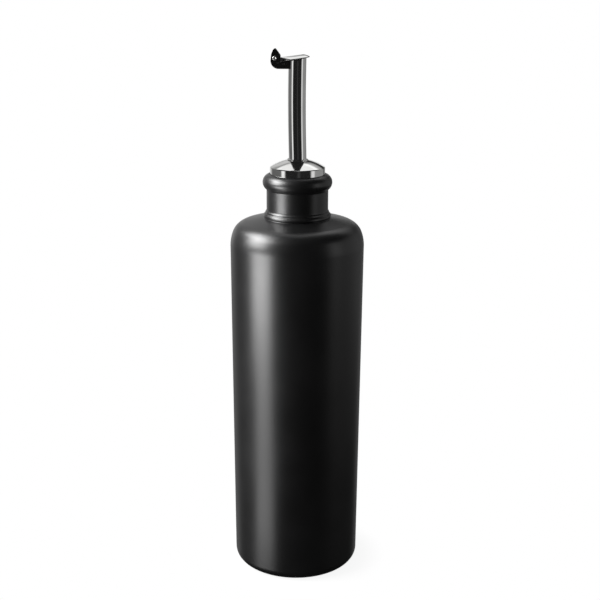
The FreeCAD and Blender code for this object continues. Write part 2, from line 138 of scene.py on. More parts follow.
class Recipe:
    """The node tree of one material or world, filled node by node."""

    def __init__(self, owner: bpy.types.Material | bpy.types.World) -> None:
        """Empty the owner's tree.

        Args:
            owner: the material or world whose tree this is.
        """
        owner.use_nodes = True
        self.owner = owner
        self.tree = owner.node_tree
        self.tree.nodes.clear()

    def add(self, kind: str, settings: dict[str, object] | None = None,
            sockets: dict[str | int, object] | None = None, output: str | int = 0) -> Value:
        """Add one node.

        Args:
            kind: the node's type name.
            settings: properties of the node, which are set first.
            sockets: values or links of the input sockets, by name or index.
            output: which output the returned value stands for.

        Returns:
            The chosen output.
        """
        node = self.tree.nodes.new(kind)
        for key, setting in (settings or {}).items():
            setattr(node, key, setting)
        for key, given in (sockets or {}).items():
            socket = self._find(node.inputs, key)
            if isinstance(given, Value):
                self.tree.links.new(given.socket, socket)
            else:
                socket.default_value = given
        return Value(self, self._find(node.outputs, output) if node.outputs else None)

    @staticmethod
    def _find(sockets: bpy.types.bpy_prop_collection, key: str | int) -> bpy.types.NodeSocket:
        """Find a socket.

        Args:
            sockets: the inputs or outputs of a node.
            key: its index, identifier or name.

        Returns:
            The socket.
        """
        if isinstance(key, int):
            return sockets[key]
        matches = [socket for socket in sockets if socket.identifier == key]
        return matches[0] if matches else sockets[key]

    def place(self) -> Value:
        """The point being shaded, in the object's own metres."""
        return self.add("ShaderNodeTexCoord", output="Object")

    def noise(self, where: Value, scale: float, detail: float = 2.0) -> Value:
        """Noise from 0 to 1; the scale counts its grains to a metre."""
        return self.add("ShaderNodeTexNoise", {}, {"Vector": where, "Scale": scale, "Detail": detail}, "Fac")

    def span(self, value: Value, low: float, high: float, start: float = 0.0, end: float = 1.0) -> Value:
        """Carry a value from one range onto another, with soft ends.

        Args:
            value: the value.
            low: where its range begins.
            high: where its range ends.
            start: what it becomes at and below low.
            end: what it becomes at and above high.

        Returns:
            The carried value.
        """
        return self.add("ShaderNodeMapRange", {"interpolation_type": "SMOOTHSTEP"},
                        {"Value": value, "From Min": low, "From Max": high, "To Min": start, "To Max": end},
                        "Result")

    def mix(self, share: Value, first: Colour | Value, second: Colour | Value) -> Value:
        """Blend two colours."""
        return self.add("ShaderNodeMix", {"data_type": "RGBA"},
                        {"Factor_Float": share, "A_Color": first, "B_Color": second}, "Result_Color")

    def bump(self, height: Value, depth: float, strength: float) -> Value:
        """Turn a height into a shading normal; the depth is in metres."""
        return self.add("ShaderNodeBump", {}, {"Height": height, "Distance": depth, "Strength": strength})

    def finish(self, **sockets: object) -> bpy.types.Material:
        """Close a material with one Principled shader.

        Args:
            **sockets: values or links of the shader, named with _ for each space.

        Returns:
            The material.
        """
        named = {key.replace("_", " "): given for key, given in sockets.items()}
        shader = self.add("ShaderNodeBsdfPrincipled", {}, named)
        self.add("ShaderNodeOutputMaterial", {}, {"Surface": shader})
        return self.owner


# ---------------------------------------------------------------------------------------------------------
# Finishes
# ---------------------------------------------------------------------------------------------------------


@dataclass(frozen=True)
class BlackGlaze:
    """Satin black glaze over stoneware, bare and matt on the ring that the bottle stands on.

    Clouds, peel, tears and clay_grain count to a metre; a span is the part of a noise that is used.
    """

    # Both glaze colours are set far darker than the glaze itself, which is about 0.022, so that the bright
    # lamps leave the body black: painted shade over the whole glazed body.
    thin: Colour = (0.0010, 0.0010, 0.0011, 1.0)
    thick: Colour = (0.0020, 0.0020, 0.0022, 1.0)
    clay: Colour = (0.060, 0.056, 0.052, 1.0)
    roughness: float = 0.34
    uneven: float = 0.02
    clay_roughness: float = 0.85
    shine: float = 0.8
    clouds: float = 28.0
    thick_span: Flat = (0.35, 0.65)
    satin_span: Flat = (0.3, 0.7)
    peel: float = 700.0
    foot_height: float = 0.7 * MM
    foot_fade: float = 0.4
    tears: float = 320.0
    tear_height: float = 0.5 * MM
    clay_grain: float = 2600.0
    clay_relief: float = 3.0
    relief: float = 0.02 * MM
    relief_strength: float = 0.25

    def material(self) -> bpy.types.Material:
        """Build the glaze.

        Returns:
            The material.
        """
        recipe = Recipe(bpy.data.materials.new("black_glaze"))
        where = recipe.place()
        cloud = recipe.noise(where, self.clouds, detail=4.0)
        peel = recipe.noise(where, self.peel)
        height = recipe.add("ShaderNodeSeparateXYZ", {}, {0: where}, "Z")
        ragged = height + recipe.noise(where, self.tears, detail=3.0) * self.tear_height
        bare = 1.0 - recipe.span(ragged, self.foot_height * (1.0 - self.foot_fade),
                                 self.foot_height * (1.0 + self.foot_fade))
        glaze = recipe.mix(recipe.span(cloud, *self.thick_span), self.thin, self.thick)
        colour = recipe.mix(bare, glaze, self.clay)
        satin = recipe.span(cloud, *self.satin_span,
                            self.roughness - self.uneven, self.roughness + self.uneven)
        rough = satin + bare * (self.clay_roughness - self.roughness)
        grain = peel + bare * recipe.noise(where, self.clay_grain, detail=3.0) * self.clay_relief
        normal = recipe.bump(grain, self.relief, self.relief_strength)
        return recipe.finish(Base_Color=colour, Roughness=rough, Normal=normal,
                             Specular_IOR_Level=self.shine)


class Lay(Enum):
    """The way a steel piece was last worked: how its marks run along X, Y and Z, and how deep they are."""

    BUFFED = ((1.0, 1.0, 1.0), 0.0015 * MM)
    BRUSHED = ((0.25, 1.0, 3.0), 0.012 * MM)


@dataclass(frozen=True)
class Steel:
    """Stainless steel: buffed bright, or left darker and brushed.

    Smudges and scratches count to a metre; a span is the part of a noise that is used.
    """

    name: str
    colour: Colour
    handled: Colour
    roughness: float
    spread: float
    lay: Lay = Lay.BUFFED
    smudges: float = 90.0
    handled_span: Flat = (0.38, 0.66)
    rough_span: Flat = (0.35, 0.7)
    scratches: float = 1800.0
    bite: float = 0.4

    def material(self) -> bpy.types.Material:
        """Build the steel.

        Returns:
            The material.
        """
        recipe = Recipe(bpy.data.materials.new(self.name))
        where = recipe.place()
        smudge = recipe.noise(where, self.smudges, detail=5.0)
        worn = recipe.span(smudge, *self.handled_span)
        rough = recipe.span(smudge, *self.rough_span, self.roughness, self.roughness + self.spread)
        colour = recipe.mix(worn, self.colour, self.handled)
        along, depth = self.lay.value
        drawn = recipe.add("ShaderNodeMapping", {}, {"Vector": where, "Scale": along})
        normal = recipe.bump(recipe.noise(drawn, self.scratches), depth, self.bite)
        return recipe.finish(Base_Color=colour, Metallic=1.0, Roughness=rough, Normal=normal)


BRIGHT: Colour = (0.86, 0.86, 0.85, 1.0)
HANDLED: Colour = (0.80, 0.80, 0.785, 1.0)
POLISHED_STEEL = Steel("polished_steel", BRIGHT, HANDLED, roughness=0.045, spread=0.04)
CAP_STEEL = Steel("polished_cap_steel", BRIGHT, HANDLED, roughness=0.085, spread=0.05)
DARK_STEEL = Steel("dark_steel", (0.13, 0.13, 0.125, 1.0), (0.08, 0.08, 0.077, 1.0),
                   roughness=0.36, spread=0.10, lay=Lay.BRUSHED)
RIVET_STEEL = Steel("rivet_steel", (0.50, 0.50, 0.485, 1.0), (0.38, 0.38, 0.37, 1.0),
                    roughness=0.46, spread=0.10, lay=Lay.BRUSHED)


# ---------------------------------------------------------------------------------------------------------
# Outlines and meshes
# ---------------------------------------------------------------------------------------------------------


def arc(centre: Flat, radius: float, start: float, end: float, steps: int) -> list[Flat]:
    """Points along a circle, both ends included.

    Args:
        centre: the circle's centre.
        radius: its radius.
        start: first angle.
        end: last angle.
        steps: how many parts it is divided into.

    Returns:
        The points in order.
    """
    turns = [math.radians(start + (end - start) * step / steps) for step in range(steps + 1)]
    return [(centre[0] + radius * math.cos(turn), centre[1] + radius * math.sin(turn)) for turn in turns]


def circle(centre: Flat, radius: float, count: int) -> list[Flat]:
    """Points spaced evenly round a whole circle."""
    return arc(centre, radius, 0.0, 360.0 - 360.0 / count, count - 1)


def corner(before: Flat, at: Flat, after: Flat, radius: float, steps: int) -> list[Flat]:
    """Round one corner of an outline.

    Args:
        before: the point that the outline comes from.
        at: the corner itself.
        after: the point that it goes on to.
        radius: the rounding.
        steps: how many parts the rounding has.

    Returns:
        The points that take the corner's place.
    """
    spot = Vector(at)
    back, ahead = (Vector(before) - spot).normalized(), (Vector(after) - spot).normalized()
    half = back.angle(ahead) / 2
    centre = spot + (back + ahead).normalized() * (radius / math.sin(half))
    first = spot + back * (radius / math.tan(half)) - centre
    last = spot + ahead * (radius / math.tan(half)) - centre
    start, end = math.degrees(math.atan2(first.y, first.x)), math.degrees(math.atan2(last.y, last.x))
    sweep = (end - start + 180.0) % 360.0 - 180.0
    return arc((centre.x, centre.y), radius, start, start + sweep, steps)


def soften(points: Sequence[Flat], step: float, passes: int) -> list[Flat]:
    """Space an outline evenly and blend its creases, as glaze or polish does.

    Args:
        points: the outline; its two ends stay where they are.
        step: the spacing of the new points.
        passes: how often neighbours are averaged.

    Returns:
        The new outline.
    """
    spots = [Vector(point) for point in points]
    lengths = [0.0]
    for one, two in zip(spots, spots[1:]):
        lengths.append(lengths[-1] + (two - one).length)
    count = max(2, round(lengths[-1] / step))
    fresh: list[Vector] = []
    piece = 0
    for index in range(count + 1):
        want = lengths[-1] * index / count
        while piece < len(spots) - 2 and lengths[piece + 1] < want:
            piece += 1
        run = max(lengths[piece + 1] - lengths[piece], TINY)
        fresh.append(spots[piece].lerp(spots[piece + 1], (want - lengths[piece]) / run))
    for _ in range(passes):
        middle = [(fresh[i - 1] + fresh[i] * 2 + fresh[i + 1]) / 4 for i in range(1, count)]
        fresh = [fresh[0], *middle, fresh[-1]]
    return [(spot.x, spot.y) for spot in fresh]


def crossing(centre: Flat, radius: float, other: Flat, other_radius: float) -> Flat:
    """Where two circles of a profile meet, on the side away from the axis.

    Args:
        centre: first centre.
        radius: first radius.
        other: second centre.
        other_radius: second radius.

    Returns:
        The outer of the two meeting points.
    """
    one, two = Vector(centre), Vector(other)
    apart = (two - one).length
    along = (apart**2 + radius**2 - other_radius**2) / (2 * apart)
    aside = math.sqrt(max(radius**2 - along**2, 0.0))
    unit = (two - one) / apart
    across = Vector((-unit.y, unit.x))
    middle = one + unit * along
    outer = max((middle + across * aside, middle - across * aside), key=lambda spot: spot.x)
    return outer.x, outer.y


def bearing(centre: Flat, spot: Flat) -> float:
    """The angle at which a spot lies from a centre."""
    return math.degrees(math.atan2(spot[1] - centre[1], spot[0] - centre[0]))


class Axis(Enum):
    """The line that a turned piece is turned about."""

    UP = "up"
    ALONG_PIN = "along pin"


def new_piece(name: str, bm: bmesh.types.BMesh, sharp: float = 50.0) -> bpy.types.Object:
    """Make an object of a finished mesh.

    Args:
        name: the piece's name.
        bm: its mesh, in millimetres; it is freed.
        sharp: edges steeper than this stay crisp in the shading.

    Returns:
        The object, linked to the scene.
    """
    bmesh.ops.remove_doubles(bm, verts=bm.verts, dist=SAME_SPOT)
    bmesh.ops.recalc_face_normals(bm, faces=bm.faces)
    bmesh.ops.transform(bm, matrix=Matrix.Scale(MM, 4), verts=bm.verts)
    mesh = bpy.data.meshes.new(name)
    bm.to_mesh(mesh)
    bm.free()
    mesh.shade_smooth()
    mesh.set_sharp_from_angle(angle=math.radians(sharp))
    piece = bpy.data.objects.new(name, mesh)
    bpy.context.scene.collection.objects.link(piece)
    return piece


def bridge(bm: bmesh.types.BMesh, one: Row, two: Row) -> None:
    """Join two closed rows of vertices with quads, or with triangles where a row is a single vertex.

    Args:
        bm: the mesh.
        one: first row.
        two: second row.
    """
    count = max(len(one), len(two))
    for index in range(count):
        follow = (index + 1) % count
        loop = dict.fromkeys((one[index % len(one)], one[follow % len(one)],
                              two[follow % len(two)], two[index % len(two)]))
        if len(loop) > 2:
            bm.faces.new(loop)


def loft(bm: bmesh.types.BMesh, rows: Sequence[Row], closed: bool = False) -> None:
    """Bridge each row to the next, and the last to the first where the loft is closed."""
    for one, two in zip(rows, [*rows[1:], rows[0]] if closed else rows[1:]):
        bridge(bm, one, two)


def fill(bm: bmesh.types.BMesh, loops: Sequence[Row]) -> None:
    """Fill a flat outline and leave its holes open.

    Args:
        bm: the mesh.
        loops: the outline, then each hole.
    """
    edges = []
    for loop in loops:
        for one, two in zip(loop, [*loop[1:], loop[0]]):
            edges.append(bm.edges.get((one, two)) or bm.edges.new((one, two)))
    bmesh.ops.triangle_fill(bm, use_beauty=True, use_dissolve=False, edges=edges)


def turned(name: str, outline: Sequence[Flat], rounds: int, sharp: float, closed: bool = False,
           axis: Axis = Axis.UP, at: Vector | None = None) -> bpy.types.Object:
    """Turn an outline about an axis.

    Args:
        name: the piece's name.
        outline: (radius, height) points.
        rounds: how many parts the turn has.
        sharp: see new_piece.
        closed: whether the outline runs back to its start, as a ring's does.
        axis: the line to turn about.
        at: where that line's zero lies; the frame's origin if none is given.

    Returns:
        The turned piece.
    """
    bm = bmesh.new()
    start = at or Vector((0.0, 0.0, 0.0))
    rings = []
    for radius, height in outline:
        ring = []
        for index in range(rounds if radius > TINY else 1):
            angle = 2 * math.pi * index / rounds
            across, aside = radius * math.cos(angle), radius * math.sin(angle)
            spot = (across, aside, height) if axis is Axis.UP else (across, height, aside)
            ring.append(bm.verts.new(Vector(spot) + start))
        rings.append(ring)
    loft(bm, rings, closed)
    return new_piece(name, bm, sharp)


def even_shading(piece: bpy.types.Object) -> None:
    """Let the large faces of a piece set its shading, and keep its crisp edges."""
    piece.modifiers.new("even_shading", "WEIGHTED_NORMAL").keep_sharp = True


def dress(piece: bpy.types.Object, material: bpy.types.Material, slot: str, body: str,
          *nodes: str) -> bpy.types.Object:
    """Give a piece its finish, its body and the CAD nodes that it stands for.

    Args:
        piece: the piece.
        material: its finish.
        slot: the record's material slot; not used.
        body: the body that it rides on.
        *nodes: the CAD nodes that it replaces.

    Returns:
        The same piece.
    """
    piece.data.materials.clear()
    piece.data.materials.append(material)
    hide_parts(*nodes)
    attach(piece, body)
    return piece


# ---------------------------------------------------------------------------------------------------------
# Sub-assemblies
# ---------------------------------------------------------------------------------------------------------


@dataclass
class CeramicBottle:
    """The stoneware bottle: wall, shoulder, neck with its foot bead, and rolled lip."""

    body_radius: float = 35.0
    base_radius: float = 33.6
    base_round: float = 5.5
    under_disc: float = 10.0
    foot_inner: float = 24.0
    foot_recess: float = 0.8
    foot_lead: float = 3.0
    foot_fall: float = 1.2
    foot_flat: float = 1.6
    wall_steps: int = 5
    shoulder_height: float = 182.3
    round_low: float = 20.0
    round_high: float = 9.0
    round_gap: float = 0.1
    bevel_angle: float = 20.0
    shoulder_slope: float = 12.0
    slope_run: float = 3.0
    neck_radius: float = 16.0
    bead: Flat = (16.1, 194.71)
    bead_section: float = 1.5
    collar: Flat = (15.85, 196.61)
    collar_section: float = 0.8
    lip: Flat = (13.7, 212.11)
    lip_section: float = 4.35
    seat_radius: float = 14.25
    seat_height: float = 215.41
    seat_run: float = 4.0
    finish: BlackGlaze = field(default_factory=BlackGlaze)

    def shoulder(self) -> tuple[Flat, Flat]:
        """Work out the shoulder.

        Returns:
            The corner of the shoulder's bevel, and the foot of the neck.
        """
        bevel, slope = math.radians(self.bevel_angle), math.radians(self.shoulder_slope)
        length = (self.round_low * math.tan(bevel / 2)
                  + self.round_high * math.tan((math.pi / 2 - slope - bevel) / 2) + self.round_gap)
        across = self.body_radius - length * math.sin(bevel)
        up = self.shoulder_height + length * math.cos(bevel)
        return (across, up), (self.neck_radius, up + (across - self.neck_radius) * math.tan(slope))

    def body_outline(self) -> list[Flat]:
        """Draw the underside, the wall and the shoulder.

        Returns:
            The outline from the middle of the underside to the shoulder's slope.
        """
        bevel, neck_foot = self.shoulder()
        base, wall = (self.base_radius, 0.0), (self.body_radius, self.shoulder_height)
        foot = soften([(self.foot_inner - self.foot_lead, self.foot_recess),
                       (self.foot_inner - self.foot_fall, self.foot_recess),
                       (self.foot_inner, 0.0), (self.foot_inner + self.foot_flat, 0.0)], step=0.3, passes=4)
        parts = [step / self.wall_steps for step in range(1, self.wall_steps)]
        return [(0.0, self.foot_recess), (self.under_disc, self.foot_recess), *foot,
                *corner((0.0, 0.0), base, wall, self.base_round, steps=12),
                *[(base[0] + (wall[0] - base[0]) * part, wall[1] * part) for part in parts],
                *corner(base, wall, bevel, self.round_low, steps=18),
                *corner(wall, bevel, neck_foot, self.round_high, steps=24)]

    def neck_outline(self) -> list[Flat]:
        """Draw bead, collar, neck and lip.

        Returns:
            The outline from the shoulder's slope to the cap's seat.
        """
        _, neck_foot = self.shoulder()
        slope = math.radians(self.shoulder_slope)
        along, out = Vector((-math.cos(slope), math.sin(slope))), Vector(self.bead) - Vector(neck_foot)
        shift = out.dot(along)
        reach = math.sqrt(self.bead_section**2 - (out.length_squared - shift**2))
        crease = Vector(neck_foot) + along * (shift - reach)
        pinch = crossing(self.bead, self.bead_section, self.collar, self.collar_section)
        wall = self.neck_radius
        over = bearing(self.collar, (wall, self.collar[1] + math.sqrt(
            self.collar_section**2 - (wall - self.collar[0])**2)))
        under = -math.degrees(math.acos((wall - self.lip[0]) / self.lip_section))
        top = math.degrees(math.acos((self.seat_radius - self.lip[0]) / self.lip_section))
        raw = [(crease.x + self.slope_run, crease.y - self.slope_run * math.tan(slope)),
               *arc(self.bead, self.bead_section, bearing(self.bead, (crease.x, crease.y)),
                    bearing(self.bead, pinch), steps=14),
               *arc(self.collar, self.collar_section, bearing(self.collar, pinch), over, steps=8),
               *arc(self.lip, self.lip_section, under, top, steps=40),
               (self.seat_radius, self.seat_height), (self.seat_radius - self.seat_run, self.seat_height)]
        return soften(raw, step=0.2, passes=5)

    def build(self) -> list[bpy.types.Object]:
        """Build and dress the bottle.

        Returns:
            Its one piece.
        """
        outline = [*self.body_outline(), *self.neck_outline(), (0.0, self.seat_height)]
        piece = turned("bottle_stoneware", outline, rounds=180, sharp=60.0)
        return [dress(piece, self.finish.material(), "black_glaze", "bottle", "bottle")]


@dataclass
class PourerCap:
    """The polished cap: a low drum with a bevelled rim, a domed top and the weld round the spout."""

    foot: float = 215.43
    radius: float = 14.2
    wall: float = 4.3
    rim: float = 0.3
    dome: float = 4.0
    hole: float = 4.57
    weld: float = 0.45
    edge: float = 0.25
    under_run: float = 1.0
    wall_low: float = 0.35
    wall_high: float = 1.0
    rim_run: float = 0.6

    def outline(self) -> list[Flat]:
        """Draw the drum, the dome and the weld.

        Returns:
            The closed outline, from the hole's foot outward and back over the dome.
        """
        edge_z, rim_r = self.foot + self.wall, self.radius - self.rim
        rim_z = edge_z + self.rim
        ball = (rim_r**2 + self.dome**2) / (2 * self.dome)
        centre = (0.0, rim_z + self.dome - ball)
        meet = centre[1] + math.sqrt(ball**2 - self.hole**2)
        ring = (self.hole + self.weld, meet)
        crease = crossing(ring, self.weld, centre, ball)
        over = arc(centre, ball, bearing(centre, (rim_r, rim_z)), bearing(centre, crease), steps=26)
        turn = arc(ring, self.weld, bearing(ring, crease), 180.0, steps=10)
        shell = soften([(self.radius, edge_z - self.rim_run), (self.radius, edge_z), (rim_r, rim_z), over[1]],
                       step=0.08, passes=4)
        neck = soften([over[-2], *turn], step=0.06, passes=3)
        foot = corner((self.hole, self.foot), (self.radius, self.foot), (self.radius, edge_z),
                      self.edge, steps=5)
        walls = [(self.radius, self.foot + self.edge + self.wall_low), (self.radius, edge_z - self.wall_high)]
        return [(self.hole, self.foot), (self.radius - self.under_run, self.foot), *foot, *walls, *shell,
                *over[2:-2], *neck]

    def build(self) -> list[bpy.types.Object]:
        """Build and dress the cap.

        Returns:
            Its one piece.
        """
        piece = turned("pourer_cap_polished", self.outline(), rounds=144, sharp=70.0, closed=True)
        even_shading(piece)
        return [dress(piece, CAP_STEEL.material(), "polished_steel", "bottle", "pourer_cap")]


@dataclass
class SpoutTube:
    """The spout: a thin tube that leaves the cap upright, bows slightly and ends in a slanted mouth."""

    foot: float = 215.458
    radius: float = 4.55
    wall: float = 0.8
    upright: float = 8.8
    turn_radius: float = 100.0
    turn_steps: int = 4
    lean: float = 1.8
    tip_lean: float = 0.9
    bow: float = 42.0
    bow_steps: int = 20
    mouth: Vector = field(default_factory=lambda: Vector((-0.299, 0.0, 274.508)))
    mouth_run: float = 1.2
    slant: float = 7.5
    edge: float = 0.14
    edge_share: float = 0.3
    rounds: int = 96

    def path(self) -> list[tuple[Vector, float]]:
        """Walk along the tube's axis.

        Returns:
            The stations in order, each with its lean toward the hinge.
        """
        stops = [(Vector((0.0, 0.0, self.foot)), 0.0), (Vector((0.0, 0.0, self.foot + self.upright)), 0.0)]
        turn = (0.0, self.lean, self.turn_radius * math.radians(self.lean), self.turn_steps)
        bow = (self.lean, -self.tip_lean, self.bow, self.bow_steps)
        for first, last, length, steps in (turn, bow):
            for step in range(steps):
                lean = math.radians(first + (last - first) * (step + 0.5) / steps)
                ahead = Vector((-math.sin(lean), 0.0, math.cos(lean)))
                stops.append((stops[-1][0] + ahead * (length / steps),
                              first + (last - first) * (step + 1) / steps))
        return stops

    def ring(self, bm: bmesh.types.BMesh, at: Vector, lean: float, radius: float) -> Row:
        """Lay one ring of vertices square to the axis.

        Args:
            bm: the mesh.
            at: the ring's centre.
            lean: the axis's lean there.
            radius: the ring's radius.

        Returns:
            The ring.
        """
        tilt = math.radians(lean)
        across = Vector((math.cos(tilt), 0.0, math.sin(tilt)))
        turns = [2 * math.pi * index / self.rounds for index in range(self.rounds)]
        return [bm.verts.new(at + across * (radius * math.cos(turn))
                             + Vector((0.0, radius * math.sin(turn), 0.0))) for turn in turns]

    def mouth_ring(self, bm: bmesh.types.BMesh, radius: float, below: float) -> Row:
        """Lay one ring on the slanted mouth, or a little below it along the tube.

        Args:
            bm: the mesh.
            radius: the ring's radius.
            below: how far it lies below the mouth.

        Returns:
            The ring.
        """
        tilt, slope = math.radians(-self.tip_lean), math.tan(math.radians(self.slant))
        ahead = Vector((-math.sin(tilt), 0.0, math.cos(tilt)))
        ring = self.ring(bm, self.mouth, -self.tip_lean, radius)
        for vert in ring:
            rise = (vert.co.x - self.mouth.x) * slope - (vert.co.z - self.mouth.z)
            vert.co += ahead * (rise / (ahead.z - ahead.x * slope) - below)
        return ring

    def build(self) -> list[bpy.types.Object]:
        """Build and dress the spout.

        Returns:
            Its one piece.
        """
        bm = bmesh.new()
        inner, edge, part = self.radius - self.wall, self.edge, self.edge_share * self.edge
        outside = [self.ring(bm, at, lean, self.radius) for at, lean in self.path()]
        inside = [self.ring(bm, at, lean, inner) for at, lean in self.path()]
        rim = [self.mouth_ring(bm, radius, below) for radius, below in (
            (self.radius, self.mouth_run), (self.radius, edge), (self.radius - part, part),
            (self.radius - edge, 0.0), (inner + edge, 0.0), (inner + part, part), (inner, edge),
            (inner, self.mouth_run))]
        loft(bm, [*outside, *rim, *reversed(inside)], closed=True)
        piece = new_piece("spout_tube_polished", bm, sharp=70.0)
        even_shading(piece)
        return [dress(piece, POLISHED_STEEL.material(), "polished_steel", "bottle", "spout_tube")]


@dataclass
class FlapBracket:
    """The bracket folded from one dark sheet: two cheeks with dimples, joined by a web below and behind.

    Across runs along X and up along Z, both from the pin, and the cheeks lie square to the pin.
    """

    pin: Vector
    mouth: Vector
    width: float = 6.4
    sheet: float = 0.8
    back: float = -2.16
    bottom: float = -5.3
    fold: float = 4.0
    groove: float = 4.57
    tip_lean: float = 0.9
    slant: float = 7.5
    under_flap: float = -2.19
    ledge_reach: float = 7.3
    heel: Flat = (-1.8, 2.1)
    heel_round: float = 5.0
    heel_rise: float = 0.2
    brow: Flat = (-0.91, 4.0)
    brow_round: float = 2.2
    peak: Flat = (0.24, 4.7)
    nose: Flat = (2.84, 1.2)
    tip_round: float = 0.7
    notch_round: float = 0.3
    web_top: float = -1.85
    front_web: float = 5.63
    web_rows: tuple[float, ...] = (-1.6, -0.8, 0.0, 0.8, 1.6)
    axle: float = 0.62
    axle_points: int = 24
    dimples: tuple[Flat, ...] = ((1.54, -2.3), (4.24, -2.8))
    dimple_radius: float = 0.55
    dimple_depth: float = 0.25
    dimple_points: int = 18
    bowl: tuple[Flat, ...] = ((1.0, 0.0), (0.86, 0.16), (0.62, 0.62), (0.34, 0.92))
    worn_edge: float = 0.09
    worn_steps: int = 3
    worn_angle: float = 50.0

    def tube_side(self, aside: float, up: float) -> float:
        """Find the tube's surface.

        Args:
            aside: the distance from the middle plane.
            up: the height over the pin.

        Returns:
            Its place across.
        """
        drop = (self.mouth.z - self.pin.z) - up
        axis = self.mouth.x - self.pin.x - drop * math.tan(math.radians(self.tip_lean))
        return axis - math.sqrt(self.groove**2 - aside**2)

    def ledge(self, across: float) -> float:
        """Height of the cheek's top edge under the flap."""
        return self.under_flap + across * math.tan(math.radians(self.slant))

    def fold_centre(self) -> Flat:
        """Centre of the fold between the web's bottom and its back."""
        return self.back + self.fold, self.bottom + self.fold

    def outer_chain(self, aside: float) -> list[Flat]:
        """Draw the outside of the web.

        Args:
            aside: the distance from the middle plane.

        Returns:
            The outline from the tube down, along the bottom and up the back to the web's top.
        """
        centre = self.fold_centre()
        stop = 180.0 + math.degrees(math.asin((centre[1] - self.web_top) / self.fold))
        return [(self.tube_side(aside, self.web_top), self.web_top),
                (self.tube_side(aside, self.bottom), self.bottom),
                *arc(centre, self.fold, 270.0, stop, steps=10)]

    def upper_chain(self, aside: float) -> list[Flat]:
        """Draw the edge of a cheek.

        Args:
            aside: the distance from the middle plane.

        Returns:
            The outline from the web's top at the back, over the peak, to the tube under the flap.
        """
        level = self.fold_centre()[1]
        notch = (self.nose[0], self.ledge(self.nose[0]))
        across = self.tube_side(aside, self.ledge(self.ledge_reach))
        end = (across, self.ledge(across))
        return [(self.back, level),
                *corner((self.back, level + self.heel_rise), self.heel, self.brow, self.heel_round, steps=5),
                *corner(self.heel, self.brow, self.peak, self.brow_round, steps=5),
                *corner(self.brow, self.peak, self.nose, self.tip_round, steps=8),
                *corner(self.peak, self.nose, notch, self.tip_round, steps=4),
                *corner(self.nose, notch, end, self.notch_round, steps=4), end]

    def inner_chain(self) -> list[Flat]:
        """Draw the inside of the web.

        Returns:
            The outline from the back over the fold to the wall at the tube.
        """
        centre, bend = self.fold_centre(), self.fold - self.sheet
        start = 180.0 + math.degrees(math.asin((centre[1] - self.web_top) / bend))
        return [*arc(centre, bend, start, 270.0, steps=10), (self.front_web, self.bottom + self.sheet),
                (self.front_web, self.web_top)]

    def row(self, bm: bmesh.types.BMesh, points: Sequence[Flat], aside: float) -> Row:
        """Vertices of an outline at one distance from the middle plane."""
        return [bm.verts.new(self.pin + Vector((across, aside, up))) for across, up in points]

    def holes(self, bm: bmesh.types.BMesh, aside: float, dimpled: bool) -> list[Row]:
        """Sink the bowls of the dimples and lay the rims of a face's holes.

        Args:
            bm: the mesh.
            aside: the face's distance from the middle plane.
            dimpled: whether the face has the dimples.

        Returns:
            The axle's rim and then the dimples'.
        """
        rims = [self.row(bm, circle((0.0, 0.0), self.axle, self.axle_points), aside)]
        depth = -math.copysign(self.dimple_depth, aside)
        for centre in self.dimples if dimpled else ():
            rings = [self.row(bm, circle(centre, self.dimple_radius * part, self.dimple_points),
                              aside + depth * deep) for part, deep in self.bowl]
            rings.append(self.row(bm, [centre], aside + depth))
            loft(bm, rings)
            rims.append(rings[0])
        return rims

    def build(self) -> list[bpy.types.Object]:
        """Build and dress the bracket.

        Returns:
            Its one piece.
        """
        bm = bmesh.new()
        outside, inside = self.width / 2, self.width / 2 - self.sheet
        webs: list[Row] = []
        for side in (-1.0, 1.0):
            face, back = side * outside, side * inside
            outer = self.row(bm, [*self.outer_chain(outside), *self.upper_chain(outside)], face)
            low = self.row(bm, self.outer_chain(inside), back)
            high = self.row(bm, self.upper_chain(inside), back)
            hollow = self.row(bm, self.inner_chain(), back)
            rims, hole = self.holes(bm, face, dimpled=True), self.holes(bm, back, dimpled=False)
            bridge(bm, outer, [*low, *high])
            bridge(bm, rims[0], hole[0])
            fill(bm, [outer, *rims])
            fill(bm, [[low[-1], *high, low[0], *reversed(hollow)], *hole])
            webs.append([*low, *hollow])
        middle = [self.row(bm, [*self.outer_chain(abs(aside)), *self.inner_chain()], aside)
                  for aside in self.web_rows]
        loft(bm, [webs[0], *middle, webs[1]])
        piece = new_piece("flap_bracket_folded", bm, sharp=30.0)
        bevel = piece.modifiers.new("worn_edges", "BEVEL")
        bevel.width, bevel.segments, bevel.limit_method = self.worn_edge * MM, self.worn_steps, "ANGLE"
        bevel.angle_limit, bevel.harden_normals = math.radians(self.worn_angle), False
        return [dress(piece, DARK_STEEL.material(), "dark_steel", "bottle", "flap_bracket")]


@dataclass
class HingePin:
    """The rivet through both cheeks, its two heads dished in the middle.

    The dish is given by radius and depth; inner and outer are the ends of a head from the middle plane.
    """

    pin: Vector
    shank: float = 0.6
    head: float = 1.13
    inner: float = 3.22
    outer: float = 3.77
    edge: float = 0.3
    under_edge: float = 0.04
    dish: tuple[Flat, ...] = ((0.0, 0.2), (0.2, 0.19), (0.36, 0.12), (0.48, 0.03), (0.6, 0.0))

    def half(self) -> list[Flat]:
        """Draw one head.

        Returns:
            The outline from its middle out and back to the shank.
        """
        return [*[(radius, self.outer - depth) for radius, depth in self.dish],
                *arc((self.head - self.edge, self.outer - self.edge), self.edge, 90.0, 0.0, steps=6),
                (self.head, self.inner + self.under_edge), (self.head - self.under_edge, self.inner),
                (self.shank, self.inner)]

    def build(self) -> list[bpy.types.Object]:
        """Build and dress the pin.

        Returns:
            Its one piece.
        """
        half = self.half()
        outline = [*half, *[(radius, -along) for radius, along in reversed(half)]]
        piece = turned("hinge_pin_riveted", outline, rounds=48, sharp=45.0, axis=Axis.ALONG_PIN, at=self.pin)
        return [dress(piece, RIVET_STEEL.material(), "rivet_steel", "bottle", "hinge_pin")]


